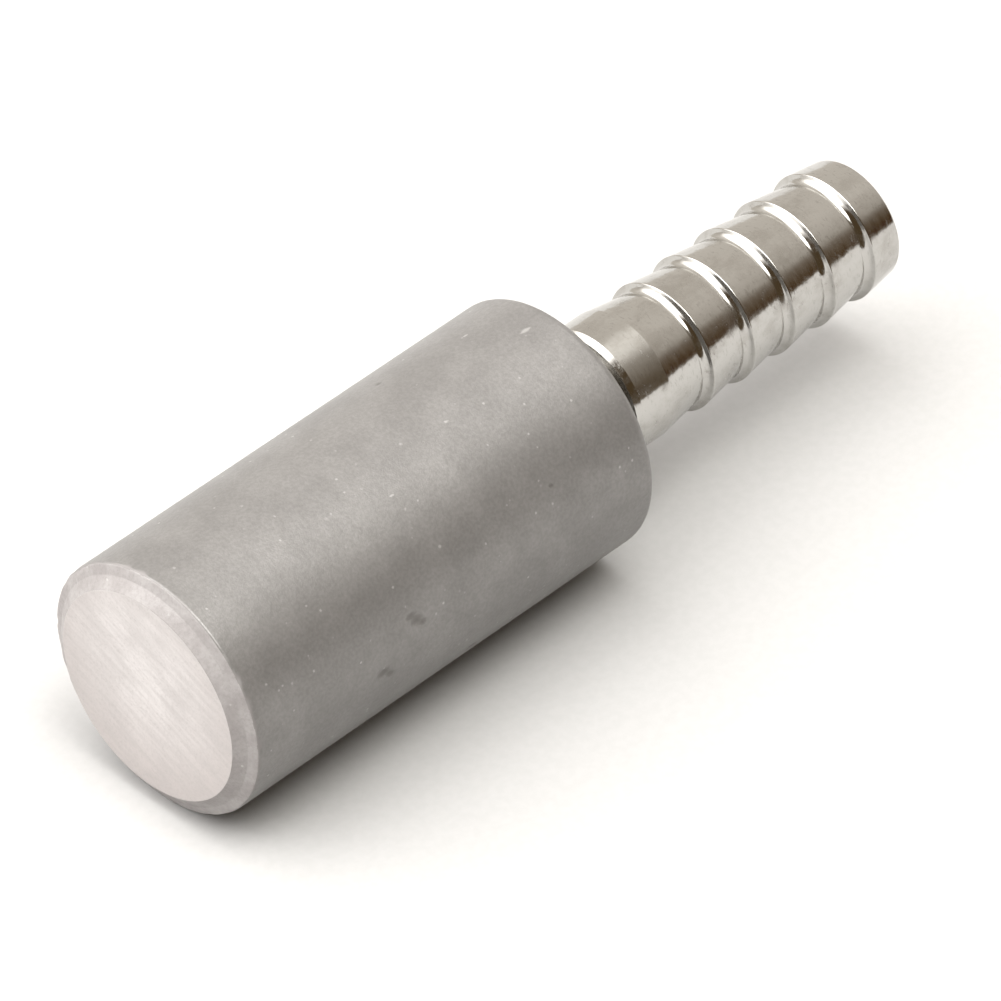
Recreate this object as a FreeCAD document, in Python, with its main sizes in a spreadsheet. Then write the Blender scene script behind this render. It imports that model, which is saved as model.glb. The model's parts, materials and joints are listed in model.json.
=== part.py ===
import FreeCAD, Part
import math
import os
import Sketcher

# A sintered stainless air stone on a barbed hose stem, lying on its side, in millimetres.
#
# The porous cup is pressed from powder with one end closed. A turned stem is pressed into its
# open end and sealed there with a ring of braze. Air enters at the tip of the stem, fills the
# chamber inside the cup and leaves through the wall of the cup as fine bubbles.
#
# Each sub-part is drawn about the X axis, with the cup's closed face at X = 0 and the stem's tip
# towards +X. Its Placement then centres the whole length on the origin and lays the cup on the
# plane Z = 0.

# ---------------------------------------------------------------- driving dimensions

SIZES = [
    # porous cup, outside
    ("stone_dia", 12.7, "diameter of the porous cup"),
    ("stone_length", 25.7, "closed face to open face"),
    ("face_dia", 10.6, "flat disc left by the press punch at the closed end"),
    ("chamfer_depth", 0.42, "closed face to the inner edge of the land, down the chamfer"),
    ("land_inner_dia", 11.68, "where the chamfer meets the narrow land round it"),
    ("land_fall", 0.2, "how far the land slopes back between the chamfer and the side"),
    ("land_edge_round", 0.16, "worn outer edge of the land"),
    ("rear_rim_round", 0.42, "rounded edge of the open face"),
    # porous cup, inside
    ("end_wall", 3.6, "wall behind the disc"),
    ("chamber_dia", 4.8, "air chamber"),
    ("chamber_corner_round", 0.6, "corner at the blind end of the chamber"),
    ("seat_dia", 5.5, "press seat for the stem's spigot"),
    ("seat_depth", 6.5, "open face to the step that the spigot stops against"),
    ("sink_width", 0.6, "45 degree countersink at the mouth, filled with braze"),
    # braze ring
    ("braze_rise", 0.35, "how far the braze climbs the stem's neck"),
    # stem
    ("neck_gap", 2.2, "open face of the cup to the stem's collar"),
    ("spigot_lead_in", 0.3, "chamfer on the spigot's inner end"),
    ("barb_dia", 6.62, "crest of the barbs, and the collar"),
    ("collar_length", 2.17, "plain cylinder before the first groove, its chamfer included"),
    ("collar_chamfer", 0.3, "length of the shallow chamfer round the collar's front edge"),
    ("collar_chamfer_depth", 0.17, "depth of that chamfer"),
    ("barb_pitch", 2.69, "crest to crest"),
    ("barb_count", 5, "number of grooves, each ending at a crest"),
    ("root_dia", 5.94, "bottom of a groove"),
    ("root_width", 0.43, "end of a groove's cone to the next crest"),
    ("step_lean", 0.2, "how far the step up to a crest leans back towards the cup"),
    ("root_round", 0.36, "round tool's radius at the foot of the step"),
    ("crest_break", 0.05, "deburred edge of each crest"),
    ("tip_length", 1.9, "last crest to the tip"),
    ("tip_dia", 6.12, "outer diameter at the tip"),
    ("tip_round", 0.12, "rounded outer edge at the tip"),
    ("bore_dia", 3.5, "air passage through the stem"),
    ("bore_mouth_chamfer", 0.25, "countersink of the air passage at the tip"),
]

doc = FreeCAD.newDocument("air_stone")
sheet = doc.addObject("Spreadsheet::Sheet", "Sizes")
for row, (alias, value, meaning) in enumerate(SIZES, start=1):
    sheet.set(f"A{row}", meaning)
    sheet.set(f"B{row}", str(value))
    sheet.setAlias(f"B{row}", alias)
doc.recompute()

# Radii and stations along the axis, as expressions on the sheet.
STONE_R = "Sizes.stone_dia / 2"
FACE_R = "Sizes.face_dia / 2"
LAND_INNER_R = "Sizes.land_inner_dia / 2"
CHAMBER_R = "Sizes.chamber_dia / 2"
SEAT_R = "Sizes.seat_dia / 2"
SINK_R = "Sizes.seat_dia / 2 + Sizes.sink_width"
BARB_R = "Sizes.barb_dia / 2"
ROOT_R = "Sizes.root_dia / 2"
TIP_R = "Sizes.tip_dia / 2"
BORE_R = "Sizes.bore_dia / 2"
ON_AXIS = "0"

CLOSED_FACE = "0"
LAND = "Sizes.chamfer_depth"
LAND_EDGE = LAND + " + Sizes.land_fall"
CHAMBER_END = "Sizes.end_wall"
SEAT_STEP = "Sizes.stone_length - Sizes.seat_depth"
SINK_FOOT = "Sizes.stone_length - Sizes.sink_width"
OPEN_FACE = "Sizes.stone_length"
COLLAR = OPEN_FACE + " + Sizes.neck_gap"
FIRST_GROOVE = COLLAR + " + Sizes.collar_length"
FIRST_CREST = FIRST_GROOVE + " + Sizes.barb_pitch"
LAST_CREST = FIRST_GROOVE + " + Sizes.barb_count * Sizes.barb_pitch"
TIP = LAST_CREST + " + Sizes.tip_length"


def number(expression):
    """The value in millimetres of an expression on the sheet."""
    return float(sheet.evalExpression(expression))


# ---------------------------------------------------------------- modelling helpers


def new_body(label):
    """An empty body that carries the assembly's Placement."""
    body = doc.addObject("PartDesign::Body", label)
    body.Label = label
    body.setExpression("Placement.Base.x", f"-({TIP}) / 2")
    body.setExpression("Placement.Base.z", STONE_R)
    return body


def half_section_sketch(body, name):
    """A sketch on the body's own XZ plane: its X is the axis of revolution, its Y the radius."""
    plane = [f for f in body.Origin.OriginFeatures if f.Role == "XZ_Plane"][0]
    sketch = body.newObject("Sketcher::SketchObject", name)
    sketch.AttachmentSupport = [(plane, "")]
    sketch.MapMode = "FlatFace"
    return sketch


def bind_point(sketch, line, end, label, along, radius):
    """Hold one end of a line at (along, radius), both given as expressions on the sheet."""
    origin, horizontal_axis, vertical_axis = -1, -1, -2
    if number(along) == 0:
        sketch.addConstraint(Sketcher.Constraint("PointOnObject", line, end, vertical_axis))
    else:
        i = sketch.addConstraint(
            Sketcher.Constraint("DistanceX", origin, 1, line, end, number(along))
        )
        sketch.renameConstraint(i, label + "_along")
        sketch.setExpression("Constraints." + label + "_along", along)
    if number(radius) == 0:
        sketch.addConstraint(Sketcher.Constraint("PointOnObject", line, end, horizontal_axis))
    else:
        i = sketch.addConstraint(
            Sketcher.Constraint("DistanceY", origin, 1, line, end, number(radius))
        )
        sketch.renameConstraint(i, label + "_radius")
        sketch.setExpression("Constraints." + label + "_radius", radius)


def outline(body, name, corners):
    """A closed straight-sided half section. corners: (label, along, radius) in order round it."""
    sketch = half_section_sketch(body, name)
    points = [FreeCAD.Vector(number(along), number(radius), 0) for _, along, radius in corners]
    count = len(corners)
    for i in range(count):
        sketch.addGeometry(Part.LineSegment(points[i], points[(i + 1) % count]))
    for i in range(count):
        sketch.addConstraint(Sketcher.Constraint("Coincident", i, 2, (i + 1) % count, 1))
    for i, (label, along, radius) in enumerate(corners):
        bind_point(sketch, i, 1, label, along, radius)
    return sketch


def turned(body, kind, name, sketch):
    """Turn a half section about the axis, as a Revolution or a Groove."""
    feature = body.newObject("PartDesign::" + kind, name)
    feature.Profile = sketch
    feature.ReferenceAxis = (sketch, ["H_Axis"])
    feature.Angle = 360
    doc.recompute()
    return feature


def circles(feature, rings):
    """Names of the feature's circular edges at the given (along, radius) expressions."""
    tolerance = 1e-4
    wanted = [(number(along), number(radius)) for along, radius in rings]
    names = []
    for i, edge in enumerate(feature.Shape.Edges, start=1):
        if isinstance(edge.Curve, Part.Circle):
            along, radius = edge.Curve.Center.x, edge.Curve.Radius
            if any(abs(along - a) + abs(radius - r) < tolerance for a, r in wanted):
                names.append(f"Edge{i}")
    if len(names) != len(wanted):
        raise RuntimeError(f"{feature.Label}: {len(names)} edges for {len(wanted)} rings")
    return names


def dressed(body, kind, name, base, rings, property_name, size):
    """A Fillet or Chamfer on the base feature's circular edges."""
    feature = body.newObject("PartDesign::" + kind, name)
    feature.Base = (base, circles(base, rings))
    feature.setExpression(property_name, size)
    doc.recompute()
    return feature


# ---------------------------------------------------------------- porous cup


def porous_cup():
    """Pressed and sintered cup: chamfered closed end, blind chamber, press seat, countersunk mouth."""
    body = new_body("porous_cup")
    section = outline(
        body,
        "cup_section",
        [
            ("face_centre", CLOSED_FACE, ON_AXIS),
            ("face_edge", CLOSED_FACE, FACE_R),
            ("land_inner", LAND, LAND_INNER_R),
            ("land_outer", LAND_EDGE, STONE_R),
            ("rim_outer", OPEN_FACE, STONE_R),
            ("sink_mouth", OPEN_FACE, SINK_R),
            ("sink_foot", SINK_FOOT, SEAT_R),
            ("seat_end", SEAT_STEP, SEAT_R),
            ("chamber_mouth", SEAT_STEP, CHAMBER_R),
            ("chamber_corner", CHAMBER_END, CHAMBER_R),
            ("chamber_end", CHAMBER_END, ON_AXIS),
        ],
    )
    pressing = turned(body, "Revolution", "cup_pressing", section)
    rim = dressed(
        body, "Fillet", "rear_rim", pressing,
        [(OPEN_FACE, STONE_R)], "Radius", "Sizes.rear_rim_round",
    )
    edge = dressed(
        body, "Fillet", "worn_land_edge", rim,
        [(LAND_EDGE, STONE_R)], "Radius", "Sizes.land_edge_round",
    )
    dressed(
        body, "Fillet", "chamber_end_round", edge,
        [(CHAMBER_END, CHAMBER_R)], "Radius", "Sizes.chamber_corner_round",
    )
    return body


# ---------------------------------------------------------------- barbed stem


def barbed_stem():
    """Turned stem: spigot and neck, plain collar, saw-tooth barbs, tapered tip, through bore."""
    body = new_body("barbed_stem")
    section = outline(
        body,
        "stem_section",
        [
            ("spigot_bore", SEAT_STEP, BORE_R),
            ("spigot_end", SEAT_STEP, SEAT_R),
            ("neck_end", COLLAR, SEAT_R),
            ("collar_front", COLLAR, BARB_R + " - Sizes.collar_chamfer_depth"),
            ("collar_edge", COLLAR + " + Sizes.collar_chamfer", BARB_R),
            ("last_crest", LAST_CREST, BARB_R),
            ("tip_outer", TIP, TIP_R),
            ("tip_bore", TIP, BORE_R),
        ],
    )
    blank = turned(body, "Revolution", "stem_blank", section)

    # One groove: a cone down from the last crest, a short bottom, then a leaning step up to the
    # next crest. Its open side is drawn a little outside the blank, so that the cut is clean.
    outside = BARB_R + " + 1"
    groove_section = outline(
        body,
        "groove_section",
        [
            ("cone_top", FIRST_GROOVE, BARB_R),
            ("bottom_start", FIRST_CREST + " - Sizes.root_width", ROOT_R),
            ("bottom_end", FIRST_CREST + " - Sizes.step_lean", ROOT_R),
            ("crest", FIRST_CREST, BARB_R),
            ("crest_side", FIRST_CREST, outside),
            ("open_side", FIRST_GROOVE, outside),
        ],
    )
    uncut_volume = blank.Shape.Volume
    groove = turned(body, "Groove", "first_groove", groove_section)
    if groove.Shape.Volume >= uncut_volume:
        raise RuntimeError("the first groove cut nothing")

    barbs = body.newObject("PartDesign::LinearPattern", "grooves")
    barbs.Originals = [groove]
    barbs.Direction = (groove_section, ["H_Axis"])
    barbs.setExpression("Length", "Sizes.barb_pitch * (Sizes.barb_count - 1)")
    barbs.setExpression("Occurrences", "Sizes.barb_count")
    body.Tip = barbs
    doc.recompute()
    cut_share = (uncut_volume - barbs.Shape.Volume) / (uncut_volume - groove.Shape.Volume)
    if abs(cut_share - number("Sizes.barb_count")) > 1e-3:
        raise RuntimeError("the pattern did not repeat the groove")

    crests = [
        f"{FIRST_GROOVE} + {k} * Sizes.barb_pitch"
        for k in range(1, int(number("Sizes.barb_count")) + 1)
    ]
    roots = dressed(
        body, "Fillet", "root_rounds", barbs,
        [(crest + " - Sizes.step_lean", ROOT_R) for crest in crests], "Radius", "Sizes.root_round",
    )
    broken = dressed(
        body, "Fillet", "crest_breaks", roots,
        [(crest, BARB_R) for crest in crests], "Radius", "Sizes.crest_break",
    )
    tip = dressed(
        body, "Fillet", "tip_round", broken,
        [(TIP, TIP_R)], "Radius", "Sizes.tip_round",
    )
    mouth = dressed(
        body, "Chamfer", "bore_mouth", tip,
        [(TIP, BORE_R)], "Size", "Sizes.bore_mouth_chamfer",
    )
    dressed(
        body, "Chamfer", "spigot_lead_in", mouth,
        [(SEAT_STEP, SEAT_R)], "Size", "Sizes.spigot_lead_in",
    )
    return body


# ---------------------------------------------------------------- braze ring


def braze_ring():
    """Braze that fills the countersink round the neck and rises on it in a concave fillet."""
    body = new_body("braze_ring")
    sketch = half_section_sketch(body, "braze_section")
    foot = FreeCAD.Vector(number(SINK_FOOT), number(SEAT_R), 0)
    neck = FreeCAD.Vector(number(OPEN_FACE + " + Sizes.braze_rise"), number(SEAT_R), 0)
    toe = FreeCAD.Vector(number(OPEN_FACE), number(SEAT_R + " + Sizes.braze_rise"), 0)
    mouth = FreeCAD.Vector(number(OPEN_FACE), number(SINK_R), 0)
    centre = FreeCAD.Vector(neck.x, toe.y, 0)
    rise = number("Sizes.braze_rise")

    # the meniscus is a quarter circle that runs out square to the neck and to the open face
    sketch.addGeometry(Part.LineSegment(foot, neck))
    quarter = Part.Circle(centre, FreeCAD.Vector(0, 0, 1), rise)
    sketch.addGeometry(Part.ArcOfCircle(quarter, math.pi, 1.5 * math.pi))
    sketch.addGeometry(Part.LineSegment(toe, mouth))
    sketch.addGeometry(Part.LineSegment(mouth, foot))
    arc = 1
    sketch.addConstraint(Sketcher.Constraint("Coincident", 0, 2, arc, 2))
    sketch.addConstraint(Sketcher.Constraint("Coincident", arc, 1, 2, 1))
    sketch.addConstraint(Sketcher.Constraint("Coincident", 2, 2, 3, 1))
    sketch.addConstraint(Sketcher.Constraint("Coincident", 3, 2, 0, 1))
    bind_point(sketch, 0, 1, "foot", SINK_FOOT, SEAT_R)
    bind_point(sketch, 0, 2, "neck", OPEN_FACE + " + Sizes.braze_rise", SEAT_R)
    bind_point(sketch, 2, 1, "toe", OPEN_FACE, SEAT_R + " + Sizes.braze_rise")
    bind_point(sketch, 3, 1, "mouth", OPEN_FACE, SINK_R)
    i = sketch.addConstraint(Sketcher.Constraint("Radius", arc, rise))
    sketch.renameConstraint(i, "meniscus")
    sketch.setExpression("Constraints.meniscus", "Sizes.braze_rise")
    turned(body, "Revolution", "braze_fill", sketch)
    return body


# ---------------------------------------------------------------- build, test, write

bodies = [porous_cup(), barbed_stem(), braze_ring()]
doc.recompute()

for thing in doc.Objects:
    if "Invalid" in thing.State or "Error" in thing.State:
        raise RuntimeError(f"{thing.Label} failed: {thing.State}")
for body in bodies:
    if body.Shape.isNull() or not body.Shape.isValid() or len(body.Shape.Solids) != 1:
        raise RuntimeError(f"{body.Label} is not one valid solid")

os.makedirs("parts", exist_ok=True)
for body in bodies:
    body.Shape.exportStep(f"parts/{body.Label}.step")
    box = body.Shape.optimalBoundingBox()
    print(
        f"{body.Label}: volume {body.Shape.Volume:.1f} mm3, "
        f"x {box.XMin:.2f} to {box.XMax:.2f}, z {box.ZMin:.2f} to {box.ZMax:.2f}"
    )
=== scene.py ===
import json
import math

import bpy
import numpy as np
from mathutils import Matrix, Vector, noise


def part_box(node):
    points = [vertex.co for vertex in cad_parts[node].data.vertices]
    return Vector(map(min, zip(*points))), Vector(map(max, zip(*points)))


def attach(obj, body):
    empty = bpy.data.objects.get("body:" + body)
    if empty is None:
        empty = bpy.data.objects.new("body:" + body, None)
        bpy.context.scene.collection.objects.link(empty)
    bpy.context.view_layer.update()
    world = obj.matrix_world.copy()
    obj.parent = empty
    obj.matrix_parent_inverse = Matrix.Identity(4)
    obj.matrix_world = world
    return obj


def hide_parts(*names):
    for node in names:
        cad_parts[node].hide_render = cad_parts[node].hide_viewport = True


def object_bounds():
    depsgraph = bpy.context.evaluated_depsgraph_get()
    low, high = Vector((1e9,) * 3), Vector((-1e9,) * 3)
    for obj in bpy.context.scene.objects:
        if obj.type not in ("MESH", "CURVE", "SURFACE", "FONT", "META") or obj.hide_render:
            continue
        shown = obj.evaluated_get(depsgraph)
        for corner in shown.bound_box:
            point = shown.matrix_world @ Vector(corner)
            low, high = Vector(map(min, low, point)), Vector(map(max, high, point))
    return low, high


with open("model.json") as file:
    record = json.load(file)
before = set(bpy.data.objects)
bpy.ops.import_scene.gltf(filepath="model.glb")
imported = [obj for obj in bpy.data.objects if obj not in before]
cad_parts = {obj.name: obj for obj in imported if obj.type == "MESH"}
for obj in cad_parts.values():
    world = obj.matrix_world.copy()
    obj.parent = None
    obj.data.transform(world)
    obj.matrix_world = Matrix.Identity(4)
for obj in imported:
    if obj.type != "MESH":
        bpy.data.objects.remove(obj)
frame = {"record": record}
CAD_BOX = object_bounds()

# Looks of a sintered stainless air stone on a turned, barbed hose stem. It lies on its side on a
# pale table. Lengths are in millimetres unless a name says otherwise; MM turns them into metres.
# "Along" is the row's X, "angle" goes round the part's axis from +Y (0 degrees) to up (90).

MM = 0.001
SAME = 1e-6  # two lengths nearer than this are taken as equal

# ---------------------------------------------------------------- places read from the frame

cup_low, cup_high = [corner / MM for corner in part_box("porous_cup")]
stem_low, stem_high = [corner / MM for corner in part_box("barbed_stem")]
braze_low, braze_high = [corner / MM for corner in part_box("braze_ring")]
air_bore = [m for m in frame["record"]["mounts"] if m["name"] == "air_bore"][0]

CLOSED_FACE = cup_low.x
OPEN_FACE = cup_high.x
STONE_R = (cup_high.z - cup_low.z) / 2
AXIS_HEIGHT = (cup_high.z + cup_low.z) / 2
SEAT_STEP = stem_low.x
TIP = stem_high.x
BARB_R = (stem_high.z - stem_low.z) / 2
BORE_R = air_bore["dims"]["r_mm"]
SINK_FOOT = braze_low.x
SINK_R = (braze_high.z - braze_low.z) / 2
SEAT_R = SINK_R - (OPEN_FACE - SINK_FOOT)
BRAZE_RISE = braze_high.x - OPEN_FACE

# ---------------------------------------------------------------- other sizes of the part

FACE_R = 5.3
CHAMFER_DEPTH = 0.42
LAND_INNER_R = 5.84
LAND_FALL = 0.2
LAND_EDGE_ROUND = 0.16
REAR_RIM_ROUND = 0.42
END_WALL = 3.6
CHAMBER_R = 2.4
CHAMBER_CORNER_ROUND = 0.6

SPIGOT_LEAD_IN = 0.3
COLLAR_LENGTH = 2.17
COLLAR_CHAMFER = 0.3
COLLAR_CHAMFER_DEPTH = 0.17
BARB_PITCH = 2.69
BARB_COUNT = 5
ROOT_R = 2.97
ROOT_WIDTH = 0.43
STEP_LEAN = 0.2
ROOT_ROUND = 0.36
CREST_BREAK = 0.05
TIP_LENGTH = 1.9
TIP_R = 3.06
TIP_ROUND = 0.12
MOUTH_CHAMFER = 0.25

LAND = CLOSED_FACE + CHAMFER_DEPTH
LAND_EDGE = LAND + LAND_FALL
LAST_CREST = TIP - TIP_LENGTH
FIRST_GROOVE = LAST_CREST - BARB_COUNT * BARB_PITCH
COLLAR = FIRST_GROOVE - COLLAR_LENGTH

# ---------------------------------------------------------------- turned meshes


def rounded(corner, before, after, radius, steps=6):
    """The arc that rounds a corner of an outline, as points, starting on the side of before."""
    to_before = (before - corner).normalized()
    to_after = (after - corner).normalized()
    half = math.acos(max(-1.0, min(1.0, to_before.dot(to_after)))) / 2
    centre = corner + (to_before + to_after).normalized() * radius / math.sin(half)
    start = corner + to_before * radius / math.tan(half) - centre
    end = corner + to_after * radius / math.tan(half) - centre
    sweep = math.pi - 2 * half
    points = []
    for i in range(steps + 1):
        part = i / steps
        first = math.sin((1 - part) * sweep) / math.sin(sweep)
        second = math.sin(part * sweep) / math.sin(sweep)
        points.append(centre + start * first + end * second)
    return points


def outline(corners, closed):
    """Outline points from (along, radius, rounding) corners."""
    points = []
    count = len(corners)
    for i, (along, radius, rounding) in enumerate(corners):
        corner = Vector((along, radius))
        if rounding:
            before = Vector(corners[(i - 1) % count][:2])
            after = Vector(corners[(i + 1) % count][:2])
            points += rounded(corner, before, after, rounding)
        else:
            points.append(corner)
    if closed:
        points.append(points[0].copy())
    return points


def filled(points, step, hold=0.03):
    """The same outline with rings added on its long stretches: one close to each end, so that the
    shading of a flat stays flat, and the rest no further apart than step."""
    result = [points[0]]
    for start, end in zip(points, points[1:]):
        length = (end - start).length
        parts = []
        if length > 4 * hold:
            inner = length - 2 * hold
            count = max(1, math.ceil(inner / step))
            parts = [(hold + inner * i / count) / length for i in range(count + 1)]
        result += [start.lerp(end, part) for part in parts] + [end]
    return result


def turned_piece(name, points, segments):
    """A mesh turned about the part's axis from an outline, which is closed or starts and ends on
    the axis. Gives the object and, for each vertex, its along, radius and angle in degrees. Its
    faces may still point inwards: face_outwards settles that."""
    closed = (points[0] - points[-1]).length < SAME
    rings = points[:-1] if closed else points
    verts, where, ring_start = [], [], []
    for along, radius in rings:
        ring_start.append(len(verts))
        turns = segments if radius > SAME else 1
        for i in range(turns):
            angle = math.tau * i / segments
            verts.append((along, radius * math.cos(angle), AXIS_HEIGHT + radius * math.sin(angle)))
            where.append((along, radius, math.degrees(angle)))
    faces = []
    count = len(rings)
    for ring in range(count if closed else count - 1):
        here, there = ring_start[ring], ring_start[(ring + 1) % count]
        here_pole = rings[ring][1] <= SAME
        there_pole = rings[(ring + 1) % count][1] <= SAME
        for i in range(segments):
            j = (i + 1) % segments
            if here_pole:
                faces.append((here, there + i, there + j))
            elif there_pole:
                faces.append((here + i, there, here + j))
            else:
                faces.append((here + i, there + i, there + j, here + j))
    mesh = bpy.data.meshes.new(name)
    mesh.from_pydata([Vector(v) * MM for v in verts], [], faces)
    mesh.validate()
    mesh.shade_smooth()
    piece = bpy.data.objects.new(name, mesh)
    bpy.context.scene.collection.objects.link(piece)
    return piece, np.array(where)


def count_of_vertices(points, segments):
    """How many vertices turned_piece makes from these outline points."""
    return sum(segments if radius > SAME else 1 for _, radius in points)


def face_outwards(piece):
    """Turn all faces outwards, judged by the sign of the enclosed volume."""
    mesh = piece.data
    volume = 0.0
    for polygon in mesh.polygons:
        corners = [mesh.vertices[i].co for i in polygon.vertices]
        for a, b in zip(corners[1:], corners[2:]):
            volume += corners[0].dot(a.cross(b))
    if volume < 0:
        mesh.flip_normals()
    mesh.update()


def finish_piece(piece, node_name, materials, zone):
    """Give each face its material by zone(along, radius), hide the CAD node that the piece stands
    in for, and hang the piece on the root body.
    """
    mesh = piece.data
    for material in materials:
        mesh.materials.append(material)
    for polygon in mesh.polygons:
        centre = polygon.center / MM
        radius = math.hypot(centre.y, centre.z - AXIS_HEIGHT)
        polygon.material_index = zone(centre.x, radius)
    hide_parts(node_name)
    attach(piece, "root")


def mark_strength(where, along, angle, length, width):
    """1 in the middle of a small oval mark on the side, falling to 0 at its edge."""
    turn = np.mod(where[:, 2] - angle + 180, 360) - 180
    across = turn * math.pi / 180 * where[:, 1]
    distance = np.hypot((where[:, 0] - along) / length, across / width)
    return np.clip(1 - distance, 0, 1) ** 0.5


def strongest_mark(where, rows):
    """At each vertex the strongest of several marks, given as rows of distance from the closed
    face, angle, length and width."""
    strength = np.zeros(len(where))
    for distance, angle, length, width in rows:
        mark = mark_strength(where, CLOSED_FACE + distance, angle, length, width)
        strength = np.maximum(strength, mark)
    return strength


def noise_at(spots, scale):
    """Smooth noise at each spot, with about scale features in a millimetre."""
    return np.array([noise.noise(Vector(spot) * scale) for spot in spots])


# ---------------------------------------------------------------- porous cup

CUP_SEGMENTS = 360

# Small pits in the side, as distance from the closed face, angle, length, width, depth.
PITS = [
    (10.35, 163.2, 0.40, 0.22, 0.06),
    (10.62, 166.2, 0.46, 0.28, 0.08),
    (10.95, 168.8, 0.30, 0.20, 0.05),
    (8.35, 180.6, 0.48, 0.26, 0.08),
    (8.75, 183.4, 0.32, 0.22, 0.05),
    (14.66, 208.6, 0.38, 0.30, 0.09),
    (19.80, 150.0, 0.20, 0.14, 0.03),
    (17.30, 64.0, 0.24, 0.15, 0.03),
]
# Flecks of painted glint on the side: the same, but with no depth.
GLINT_FLECKS = [
    (23.95, 89.0, 0.42, 0.14),
    (22.10, 71.0, 0.20, 0.12),
    (12.40, 117.0, 0.16, 0.12),
    (17.20, 104.0, 0.15, 0.12),
]
GRAIN_SIZE = 0.30
GRAIN_HEIGHT = 0.005
FINE_GRAIN_RATIO = 2.3
FINE_GRAIN_SHARE = 0.5
# The outer edge of the land crumbled a little when it was pressed, and the grain there is rubbed.
CRUMBLE_DEPTH = 0.06
CRUMBLE_LENGTH = 0.55
CRUMBLE_SWEEP = 1.9
CRUMBLE_REACH = 0.30
CRUMBLE_BIAS = 0.1
RUBBED_WIDTH = 0.16
RUBBED_WAVER = 0.20


def porous_cup(materials):
    """The pressed cup. Its grain, its pits and the ragged edge of the land are shape. The flecks of
    painted glint, the pits' painted shade and the rubbed grain are only marked here, for the
    material."""
    side = [
        (CLOSED_FACE, 0, 0),
        (CLOSED_FACE, FACE_R, 0),
        (LAND, LAND_INNER_R, 0),
        (LAND_EDGE, STONE_R, LAND_EDGE_ROUND),
        (OPEN_FACE, STONE_R, REAR_RIM_ROUND),
        (OPEN_FACE, SINK_R, 0),
    ]
    inside = [
        (OPEN_FACE, SINK_R, 0),
        (SINK_FOOT, SEAT_R, 0),
        (SEAT_STEP, SEAT_R, 0),
        (SEAT_STEP, CHAMBER_R, 0),
        (CLOSED_FACE + END_WALL, CHAMBER_R, CHAMBER_CORNER_ROUND),
        (CLOSED_FACE + END_WALL, 0, 0),
    ]
    outer_points = filled(outline(side, closed=False), step=0.135)
    inner_points = filled(outline(inside, closed=False), step=4.0)
    points = outer_points + inner_points[1:]
    piece, where = turned_piece("sintered_stone", points, CUP_SEGMENTS)

    along, radius = where.T[:2]
    mesh = piece.data
    flat = np.empty(len(mesh.vertices) * 3)
    mesh.vertices.foreach_get("co", flat)
    spots = flat.reshape(-1, 3) / MM
    outer = np.arange(len(where)) < count_of_vertices(outer_points, CUP_SEGMENTS)
    slack = 0.01
    on_side = (along > LAND_EDGE + LAND_EDGE_ROUND) & (radius > STONE_R - slack)

    fine_grain = noise_at(spots, FINE_GRAIN_RATIO / GRAIN_SIZE)
    grain = noise_at(spots, 1 / GRAIN_SIZE) + FINE_GRAIN_SHARE * fine_grain
    lift = GRAIN_HEIGHT * grain * outer
    for distance, turn, length, width, depth in PITS:
        lift -= depth * mark_strength(where, CLOSED_FACE + distance, turn, length, width) * on_side
    crumble = noise_at(spots, 1 / CRUMBLE_LENGTH) + noise_at(spots, 1 / CRUMBLE_SWEEP)
    from_edge = np.hypot(along - LAND_EDGE, radius - STONE_R)
    near_edge = np.clip(1 - from_edge / CRUMBLE_REACH, 0, 1)
    lift -= CRUMBLE_DEPTH * np.clip(crumble + CRUMBLE_BIAS, 0, 1) * near_edge * outer

    face_outwards(piece)
    outward = np.empty(len(mesh.vertices) * 3)
    mesh.vertex_normals.foreach_get("vector", outward)
    at_mouth = np.hypot(along - OPEN_FACE, radius - SINK_R) < SAME
    moved = spots + outward.reshape(-1, 3) * (lift * ~at_mouth)[:, None]
    mesh.vertices.foreach_set("co", (moved * MM).ravel())
    mesh.update()

    past_edge = along - LAND_EDGE - RUBBED_WAVER * crumble
    layers = {
        "pit_shade": strongest_mark(where, [row[:4] for row in PITS]) * on_side,
        "glint_fleck": strongest_mark(where, GLINT_FLECKS) * on_side,
        "rubbed": np.clip(1 - past_edge / RUBBED_WIDTH, 0, 1),
    }
    for name, values in layers.items():
        layer = mesh.attributes.new(name, "FLOAT", "POINT")
        layer.data.foreach_set("value", values.astype(np.float32))

    disc, edge, side_and_inside = 0, 1, 2
    disc_back = CLOSED_FACE + 0.05

    def zone(x, r):
        if x < disc_back and r < FACE_R:
            return disc
        return edge if x < LAND_EDGE and r > FACE_R - slack else side_and_inside

    finish_piece(piece, "porous_cup", materials, zone)


# ---------------------------------------------------------------- barbed stem and braze


STEM_SEGMENTS = 288
BRAZE_SEGMENTS = 180
SHARP_ANGLE = 28
# The braze stands a little proud of its neat meniscus, more in some places than in others.
BRAZE_PROUD = 0.02
BRAZE_SWELL = 0.03
BRAZE_SWELLS_ROUND = 3


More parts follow.
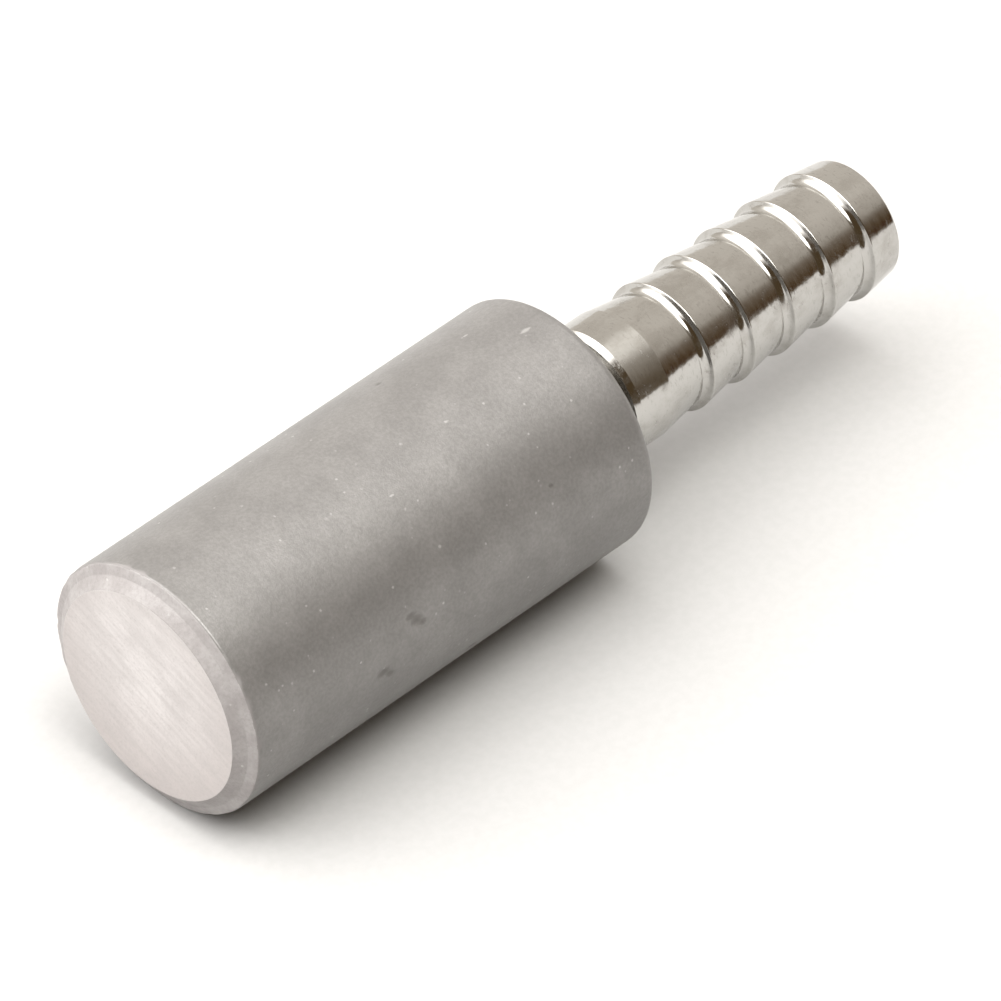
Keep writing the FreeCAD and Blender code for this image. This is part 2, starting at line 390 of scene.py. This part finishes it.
def barbed_stem(materials):
    """The turned stem. Its crests, roots and tip are rounded, and its collar has a chamfer."""
    corners = [
        (COLLAR, SEAT_R, 0),
        (COLLAR, BARB_R - COLLAR_CHAMFER_DEPTH, 0),
        (COLLAR + COLLAR_CHAMFER, BARB_R, 0),
    ]
    for barb in range(BARB_COUNT):
        start = FIRST_GROOVE + barb * BARB_PITCH
        crest = start + BARB_PITCH
        if barb == 0:
            corners.append((start, BARB_R, 0))
        corners += [
            (crest - ROOT_WIDTH, ROOT_R, 0),
            (crest - STEP_LEAN, ROOT_R, ROOT_ROUND),
            (crest, BARB_R, CREST_BREAK),
        ]
    corners += [
        (TIP, TIP_R, TIP_ROUND),
        (TIP, BORE_R + MOUTH_CHAMFER, 0),
        (TIP - MOUTH_CHAMFER, BORE_R, 0),
        (SEAT_STEP, BORE_R, 0),
        (SEAT_STEP, SEAT_R - SPIGOT_LEAD_IN, 0),
        (SEAT_STEP + SPIGOT_LEAD_IN, SEAT_R, 0),
    ]
    points = filled(outline(corners, closed=True), step=0.4, hold=0.02)
    piece, _ = turned_piece("turned_stem", points, STEM_SEGMENTS)
    piece.data.set_sharp_from_angle(angle=math.radians(SHARP_ANGLE))
    face_outwards(piece)
    outside, bore = 0, 1
    bore_wall = BORE_R + 0.02

    def zone(_, r):
        return bore if r < bore_wall else outside

    finish_piece(piece, "barbed_stem", materials, zone)


def braze_ring(materials):
    """The braze in the mouth of the cup: a concave meniscus that climbs the neck unevenly."""
    steps = 8
    meniscus = []
    for i in range(steps + 1):
        turn = math.pi / 2 * i / steps
        meniscus.append(Vector((
            OPEN_FACE + BRAZE_RISE * (1 - math.sin(turn)),
            SEAT_R + BRAZE_RISE * (1 - math.cos(turn)),
        )))
    foot = Vector((SINK_FOOT, SEAT_R))
    mouth = Vector((OPEN_FACE, SINK_R))
    points = filled([foot] + meniscus + [mouth, foot], step=0.15, hold=0.02)
    piece, where = turned_piece("braze_fillet", points, BRAZE_SEGMENTS)
    slack = 0.01
    for vertex, (along, radius, angle) in zip(piece.data.vertices, where):
        off_the_neck = radius > SEAT_R + slack
        off_the_mouth = radius < SINK_R - slack
        if along > OPEN_FACE - SAME and off_the_neck and off_the_mouth:
            turn = math.radians(angle)
            round_spot = Vector((math.cos(turn), math.sin(turn), 0)) * BRAZE_SWELLS_ROUND
            swell = BRAZE_SWELL * noise.noise(round_spot)
            vertex.co.x += (BRAZE_PROUD + swell) * MM
    face_outwards(piece)
    finish_piece(piece, "braze_ring", materials, lambda x, r: 0)


# ---------------------------------------------------------------- material helpers


def new_material(name):
    """An empty node material and a function that adds nodes to it."""
    material = bpy.data.materials.new(name)
    material.use_nodes = True
    tree = material.node_tree
    tree.nodes.clear()
    return material, adder(tree)


def adder(tree):
    """add(kind, inputs, **settings) makes a node. Inputs are values or other nodes' sockets."""

    def add(kind, inputs=None, **settings):
        node = tree.nodes.new(kind)
        for key, value in settings.items():
            setattr(node, key, value)
        for key, value in (inputs or {}).items():
            socket = node.inputs[key]
            if isinstance(value, bpy.types.NodeSocket):
                tree.links.new(value, socket)
            else:
                socket.default_value = value
        return node

    return add


def place(add):
    """The point on the surface in the row frame, in metres."""
    return add("ShaderNodeTexCoord").outputs["Object"]


def stretched(add, vector, scale):
    """A position scaled by a different number along each axis."""
    return add("ShaderNodeVectorMath", {0: vector, 1: scale}, operation="MULTIPLY").outputs[0]


def cloud(add, vector, size, detail=3.0, rough=0.55):
    """Noise from 0 to 1 with features about size millimetres across."""
    inputs = {"Vector": vector, "Scale": 1 / (size * MM), "Detail": detail, "Roughness": rough}
    return add("ShaderNodeTexNoise", inputs).outputs["Fac"]


def ramp(add, value, low, high, out_low=0.0, out_high=1.0):
    """A value mapped smoothly from low..high to out_low..out_high."""
    inputs = {
        "Value": value,
        "From Min": low,
        "From Max": high,
        "To Min": out_low,
        "To Max": out_high,
    }
    return add("ShaderNodeMapRange", inputs, interpolation_type="SMOOTHSTEP").outputs[0]


def math_node(add, operation, *values):
    """Arithmetic on one, two or three values."""
    return add("ShaderNodeMath", dict(enumerate(values)), operation=operation).outputs[0]


def mixed(add, factor, first, second):
    """A colour between first and second."""
    node = add("ShaderNodeMix", {"Factor": factor}, data_type="RGBA")
    tree = node.id_data
    for index, value in ((6, first), (7, second)):
        if isinstance(value, bpy.types.NodeSocket):
            tree.links.new(value, node.inputs[index])
        else:
            node.inputs[index].default_value = (*value, 1.0)
    return node.outputs[2]


def bumped(add, height, depth, normal=None):
    """A bumped normal. Depth in millimetres is what the height's 0 to 1 stands for."""
    inputs = {"Height": height, "Distance": depth * MM, "Strength": 1.0}
    if normal is not None:
        inputs["Normal"] = normal
    return add("ShaderNodeBump", inputs).outputs[0]


def sparkles(add, vector, cell, share, size):
    """A mask of scattered spots of uneven shape, for painted glints. About share of the cells hold
    one, and only a few of these reach 1."""
    wobble_size, wobble_reach = 0.09, 0.07
    wobble = add("ShaderNodeTexNoise", {"Vector": vector, "Scale": 1 / (wobble_size * MM)})
    reach = {0: wobble.outputs["Color"], "Scale": wobble_reach * MM}
    shift = add("ShaderNodeVectorMath", reach, operation="SCALE")
    uneven = add("ShaderNodeVectorMath", {0: vector, 1: shift.outputs[0]}, operation="ADD")
    cell_inputs = {"Vector": uneven.outputs[0], "Scale": 1 / (cell * MM)}
    cells = add("ShaderNodeTexVoronoi", cell_inputs)
    draw = add("ShaderNodeSeparateColor", {"Color": cells.outputs["Color"]}).outputs[0]
    chosen = ramp(add, draw, 1 - share, 1.0)
    inside = ramp(add, cells.outputs["Distance"], size, size * 0.3, 0.0, 1.0)
    return math_node(add, "MULTIPLY", chosen, inside)


def surface(add, **inputs):
    """The finished surface: a Principled shader on the material's output."""
    shader = add("ShaderNodeBsdfPrincipled", inputs)
    add("ShaderNodeOutputMaterial", {"Surface": shader.outputs[0]})
    return shader


# ---------------------------------------------------------------- materials

# The spot on the closed end's disc where its painted highlight is brightest, in the row frame, and
# the tilt in degrees of the disc's grinding lines.
DISC_HIGHLIGHT_SPOT = (CLOSED_FACE, 0.3, AXIS_HEIGHT + 1.9)
DISC_LINES_TILT = 68

# Colours, as linear red, green and blue.
STONE_DARK = (0.232, 0.2255, 0.219)
STONE_LIGHT = (0.261, 0.254, 0.247)
STONE_BLOTCH = (0.115, 0.110, 0.105)
STONE_RUBBED = (0.270, 0.256, 0.252)
GRAIN_GAP = (0.08, 0.076, 0.073)
GRAIN_TOP = (0.45, 0.435, 0.42)
# Painted glint: the near white that scattered spots on the side are lightened towards.
SIDE_PAINTED_GLINT = (0.80, 0.79, 0.78)
# Painted glint on the disc and on the pressed edge.
PRESSED_PAINTED_GLINT = (0.75, 0.74, 0.73)
# Painted shade on the floors of the pits.
PIT_PAINTED_SHADE = (0.08, 0.073, 0.066)

DISC_PLAIN = (0.472, 0.438, 0.427)
# The disc's painted highlight, lightest at its spot.
DISC_PAINTED_HIGHLIGHT = (0.628, 0.603, 0.596)
DISC_LINE = (0.40, 0.376, 0.369)
DISC_PATCH = (0.39, 0.366, 0.360)
DISC_GRAIN = (0.31, 0.290, 0.284)

EDGE_DARK = (0.310, 0.292, 0.287)
EDGE_LIGHT = (0.370, 0.353, 0.348)
EDGE_GRAIN = (0.17, 0.159, 0.153)

STEEL_BRIGHT = (0.530, 0.521, 0.497)
STEEL_WORN = (0.450, 0.437, 0.411)
STEEL_SCUFF = (0.32, 0.306, 0.286)
BORE_DARK = (0.30, 0.289, 0.27)
BORE_LIGHT = (0.39, 0.379, 0.36)
BRAZE_DARK = (0.44, 0.417, 0.355)
BRAZE_LIGHT = (0.52, 0.504, 0.44)

PAPER_DARK = (0.450, 0.449, 0.446)
PAPER_LIGHT = (0.467, 0.466, 0.463)


def sintered_side():
    """Matte sintered steel: fine grey grain, soft mottling, painted glints in scattered spots, and
    pits darkened with painted shade.
    """
    material, add = new_material("sintered_side")
    spot = place(add)
    mottle = cloud(add, spot, 2.6, detail=2.0)
    blotch = cloud(add, spot, 0.60, detail=2.0)
    grain = cloud(add, spot, 0.16, detail=3.0, rough=0.65)
    fine = cloud(add, spot, 0.08, detail=2.0)
    tone = mixed(add, ramp(add, mottle, 0.35, 0.65), STONE_DARK, STONE_LIGHT)
    tone = mixed(add, ramp(add, blotch, 0.30, 0.70, 0.0, 0.09), tone, STONE_BLOTCH)
    tone = mixed(add, ramp(add, grain, 0.30, 0.70, 0.0, 0.23), tone, GRAIN_GAP)
    tone = mixed(add, ramp(add, fine, 0.55, 0.80, 0.0, 0.09), tone, GRAIN_TOP)
    # Painted glints: the colour of scattered spots and of the flecks is lightened towards a near
    # white.
    glints = math_node(
        add, "MAXIMUM",
        sparkles(add, spot, 0.26, 0.05, 0.34),
        sparkles(add, spot, 0.80, 0.10, 0.15),
    )
    glint_fleck = add("ShaderNodeAttribute", attribute_name="glint_fleck").outputs["Fac"]
    glints = math_node(add, "MAXIMUM", glints, ramp(add, glint_fleck, 0.2, 0.8))
    tone = mixed(add, math_node(add, "MULTIPLY", glints, 0.30), tone, SIDE_PAINTED_GLINT)
    rubbed = add("ShaderNodeAttribute", attribute_name="rubbed").outputs["Fac"]
    tone = mixed(add, ramp(add, rubbed, 0.0, 1.0, 0.0, 0.9), tone, STONE_RUBBED)
    # Painted shade: the colour is darkened in the pits.
    pit_shade = add("ShaderNodeAttribute", attribute_name="pit_shade").outputs["Fac"]
    tone = mixed(add, ramp(add, pit_shade, 0.15, 0.9, 0.0, 0.55), tone, PIT_PAINTED_SHADE)
    normal = bumped(add, grain, 0.008)
    normal = bumped(add, fine, 0.003, normal)
    grain_roughness = ramp(add, glints, 0.0, 1.0, 0.42, 0.34)
    rubbed_roughness = ramp(add, rubbed, 0.0, 1.0, 0.0, 0.28)
    surface(add, **{
        "Base Color": tone,
        "Metallic": 0.50,
        "Roughness": math_node(add, "ADD", grain_roughness, rubbed_roughness),
        "Normal": normal,
    })
    return material


def ground_disc():
    """The closed end's disc: the same steel ground lighter, with a painted highlight brightest a
    little above its middle, and faint parallel grinding lines.
    """
    material, add = new_material("ground_disc")
    spot = place(add)
    tilt = (math.radians(DISC_LINES_TILT), 0, 0)
    tilted = add("ShaderNodeMapping", {"Vector": spot, "Rotation": tilt}).outputs[0]
    lines = cloud(add, stretched(add, tilted, (1, 5, 0.55)), 1.5, detail=4.0, rough=0.6)
    grain = cloud(add, spot, 0.14, detail=4.0, rough=0.7)
    patch = cloud(add, spot, 2.4, detail=2.0)
    # Painted highlight: the disc's colour is lightened round a spot a little above its middle.
    ends = {0: spot, 1: Vector(DISC_HIGHLIGHT_SPOT) * MM}
    from_highlight = add("ShaderNodeVectorMath", ends, operation="DISTANCE").outputs["Value"]
    painted_highlight = ramp(add, from_highlight, 1.0 * MM, 7.5 * MM, 1.0, 0.0)
    tone = mixed(add, painted_highlight, DISC_PLAIN, DISC_PAINTED_HIGHLIGHT)
    tone = mixed(add, ramp(add, lines, 0.35, 0.65, 0.0, 0.32), tone, DISC_LINE)
    tone = mixed(add, ramp(add, patch, 0.42, 0.62, 0.0, 0.22), tone, DISC_PATCH)
    tone = mixed(add, ramp(add, grain, 0.45, 0.75, 0.0, 0.30), tone, DISC_GRAIN)
    # Painted glints: the colour of scattered spots is lightened.
    glints = sparkles(add, spot, 0.45, 0.12, 0.22)
    tone = mixed(add, math_node(add, "MULTIPLY", glints, 0.5), tone, PRESSED_PAINTED_GLINT)
    normal = bumped(add, lines, 0.006)
    normal = bumped(add, grain, 0.012, normal)
    surface(add, **{
        "Base Color": tone,
        "Metallic": 0.35,
        "Roughness": 0.60,
        "Normal": normal,
    })
    return material


def pressed_edge():
    """The chamfer and land round the disc: pressed grain with painted glints, between the side and
    the disc.
    """
    material, add = new_material("pressed_edge")
    spot = place(add)
    grain = cloud(add, spot, 0.18, detail=4.0, rough=0.7)
    patch = cloud(add, spot, 1.4, detail=2.0)
    tone = mixed(add, ramp(add, patch, 0.35, 0.65), EDGE_DARK, EDGE_LIGHT)
    tone = mixed(add, ramp(add, grain, 0.35, 0.75, 0.0, 0.30), tone, EDGE_GRAIN)
    # Painted glints: the colour of scattered spots is lightened.
    glints = sparkles(add, spot, 0.35, 0.12, 0.24)
    tone = mixed(add, math_node(add, "MULTIPLY", glints, 0.40), tone, PRESSED_PAINTED_GLINT)
    surface(add, **{
        "Base Color": tone,
        "Metallic": 0.30,
        "Roughness": 0.68,
        "Normal": bumped(add, grain, 0.018),
    })
    return material


def turned_steel():
    """Bright turned steel: fine lathe rings, a few rubs and scuffs, softly smeared reflections."""
    material, add = new_material("turned_steel")
    spot = place(add)
    rings = cloud(add, stretched(add, spot, (1, 0.02, 0.02)), 0.07, detail=3.0, rough=0.6)
    rubs = cloud(add, stretched(add, spot, (0.6, 1, 1)), 1.1, detail=4.0, rough=0.65)
    scuffs = cloud(add, stretched(add, spot, (2.5, 1, 1)), 0.32, detail=3.0, rough=0.6)
    waves = cloud(add, stretched(add, spot, (2, 1, 1)), 0.9, detail=1.5, rough=0.5)
    worn = ramp(add, rubs, 0.42, 0.66)
    tone = mixed(add, worn, STEEL_BRIGHT, STEEL_WORN)
    tone = mixed(add, ramp(add, scuffs, 0.56, 0.70, 0.0, 0.42), tone, STEEL_SCUFF)
    worn_roughness = ramp(add, worn, 0.0, 1.0, 0.11, 0.21)
    scuff_roughness = ramp(add, scuffs, 0.56, 0.72, 0.0, 0.14)
    tangent = add("ShaderNodeTangent", direction_type="RADIAL", axis="X")
    normal = bumped(add, waves, 0.010)
    surface(add, **{
        "Base Color": tone,
        "Metallic": 1.0,
        "Roughness": math_node(add, "ADD", worn_roughness, scuff_roughness),
        "Anisotropic": 0.35,
        "Tangent": tangent.outputs[0],
        "Normal": bumped(add, rings, 0.0012, normal),
    })
    return material


def drilled_bore():
    """The drilled air passage: the stem's steel, duller and scored round by the drill."""
    material, add = new_material("drilled_bore")
    spot = place(add)
    rings = cloud(add, stretched(add, spot, (1, 0.05, 0.05)), 0.18, detail=3.0, rough=0.6)
    tone = mixed(add, ramp(add, rings, 0.35, 0.65), BORE_DARK, BORE_LIGHT)
    surface(add, **{
        "Base Color": tone,
        "Metallic": 1.0,
        "Roughness": 0.36,
        "Normal": bumped(add, rings, 0.006),
    })
    return material


def braze_metal():
    """Silver braze: satin, slightly yellow, with a frosted, uneven skin."""
    material, add = new_material("braze_metal")
    spot = place(add)
    skin = cloud(add, spot, 0.22, detail=4.0)
    tone = mixed(add, ramp(add, skin, 0.3, 0.7), BRAZE_DARK, BRAZE_LIGHT)
    surface(add, **{
        "Base Color": tone,
        "Metallic": 1.0,
        "Roughness": ramp(add, skin, 0.3, 0.7, 0.30, 0.48),
        "Normal": bumped(add, skin, 0.02),
    })
    return material


def table_top():
    """Matte white paper with a barely visible tooth."""
    material, add = new_material("white_paper")
    spot = place(add)
    tooth = cloud(add, spot, 0.5, detail=3.0)
    tone = mixed(add, ramp(add, tooth, 0.3, 0.7), PAPER_DARK, PAPER_LIGHT)
    surface(add, **{"Base Color": tone, "Roughness": 0.9, "Specular IOR Level": 0.1})
    return material


# ---------------------------------------------------------------- studio

# The camera: its direction from the part in degrees, its distance, its lens and sensor width, the
# nearest and farthest that it sees, and how far right of the part's middle and above it, in its own
# picture, it aims.
VIEW_AZIMUTH = -45.8
VIEW_ELEVATION = 41.46
VIEW_DISTANCE = 494.8
VIEW_LENS = 395.6
VIEW_SENSOR = 36
VIEW_NEAR = 50
VIEW_FAR = 5000
AIM_RIGHT = -0.33
AIM_UP = -2.20

TABLE_R = 600
TABLE_SEGMENTS = 96


def towards(azimuth, elevation):
    """The unit direction from the part to the camera. Azimuth 0 is -Y, 90 is +X."""
    a, e = math.radians(azimuth), math.radians(elevation)
    return Vector((math.sin(a) * math.cos(e), -math.cos(a) * math.cos(e), math.sin(e)))


def camera():
    """The camera at the viewing angle, with a long lens and no depth of field."""
    data = bpy.data.cameras.new("camera")
    data.lens = VIEW_LENS
    data.sensor_width = VIEW_SENSOR
    data.clip_start = VIEW_NEAR * MM
    data.clip_end = VIEW_FAR * MM
    eye = bpy.data.objects.new("camera", data)
    back = towards(VIEW_AZIMUTH, VIEW_ELEVATION)
    right = Vector((0, 0, 1)).cross(back).normalized()
    up = back.cross(right)
    middle = (CAD_BOX[0] + CAD_BOX[1]) / 2
    aim = middle + (right * AIM_RIGHT + up * AIM_UP) * MM
    eye.location = aim + back * VIEW_DISTANCE * MM
    eye.rotation_euler = (-back).to_track_quat("-Z", "Y").to_euler()
    bpy.context.scene.collection.objects.link(eye)
    bpy.context.scene.camera = eye


def table():
    """A round sheet of pale paper under the part."""
    rim = []
    for i in range(TABLE_SEGMENTS):
        turn = math.tau * i / TABLE_SEGMENTS
        rim.append(Vector((math.cos(turn), math.sin(turn), 0)) * TABLE_R * MM)
    mesh = bpy.data.meshes.new("table")
    mesh.from_pydata(rim, [], [range(TABLE_SEGMENTS)])
    mesh.materials.append(table_top())
    floor = bpy.data.objects.new("table", mesh)
    bpy.context.scene.collection.objects.link(floor)


# Soft patches of light on the walls and ceiling of the studio. Each has a name with its place as
# the camera sees it, its direction from the part, the half widths in degrees at which it starts and
# ends fading, its colour and its strength. The flag, under zero, takes light away.
WALL = (0.105, 0.070, 0.035)
DARKEST_WALL = (0.02, 0.02, 0.02)
PATCHES = [
    ("wide glow, low behind", (0.62, 0.75, 0.20), 45, 115, (1.0, 0.965, 0.91), 0.75),
    ("ceiling, towards the tip", (0.35, -0.05, 0.93), 8, 30, (1.0, 1.0, 0.98), 0.55),
    ("key, overhead to the front", (0.00, -0.34, 0.94), 6, 24, (1.0, 0.99, 0.96), 9.2),
    ("ceiling, straight up", (-0.05, 0.10, 0.99), 10, 30, (1.0, 1.0, 1.0), 2.0),
    ("fill, high at the left", (-0.45, 0.45, 0.77), 22, 46, (1.0, 0.98, 0.97), 2.9),
    ("fill, lower at the left", (-0.75, 0.45, 0.48), 10, 38, (1.0, 1.0, 1.0), 2.3),
    ("wall, behind to the left", (0.10, 0.80, 0.60), 8, 32, (1.0, 1.0, 1.0), 0.3),
    ("flag, low at the right", (0.78, -0.60, 0.20), 6, 18, (1.0, 1.0, 0.95), -0.25),
]


def studio_walls():
    """The studio round the part, as a world shader built from soft patches."""
    world = bpy.data.worlds.new("studio")
    world.use_nodes = True
    tree = world.node_tree
    tree.nodes.clear()
    add = adder(tree)
    direction = add("ShaderNodeTexCoord").outputs["Generated"]
    total = add("ShaderNodeCombineXYZ", {"X": WALL[0], "Y": WALL[1], "Z": WALL[2]}).outputs[0]
    for _, centre, inner, outer, colour, strength in PATCHES:
        middle = Vector(centre).normalized()
        facing = add("ShaderNodeVectorMath", {0: direction, 1: middle}, operation="DOT_PRODUCT")
        edge = math.cos(math.radians(outer))
        full = math.cos(math.radians(inner))
        weight = ramp(add, facing.outputs["Value"], edge, full, 0.0, strength)
        light = add("ShaderNodeVectorMath", {0: colour, "Scale": weight}, operation="SCALE")
        lit = add("ShaderNodeVectorMath", {0: total, 1: light.outputs[0]}, operation="ADD")
        total = lit.outputs[0]
    walls = add("ShaderNodeVectorMath", {0: total, 1: DARKEST_WALL}, operation="MAXIMUM")
    background = add("ShaderNodeBackground", {"Color": walls.outputs[0], "Strength": 1.0})
    add("ShaderNodeOutputWorld", {"Surface": background.outputs[0]})
    bpy.context.scene.world = world


# ---------------------------------------------------------------- build

porous_cup([ground_disc(), pressed_edge(), sintered_side()])
barbed_stem([turned_steel(), drilled_bore()])
braze_ring([braze_metal()])
table()
studio_walls()
camera()
bpy.context.scene.view_settings.view_transform = "Standard"
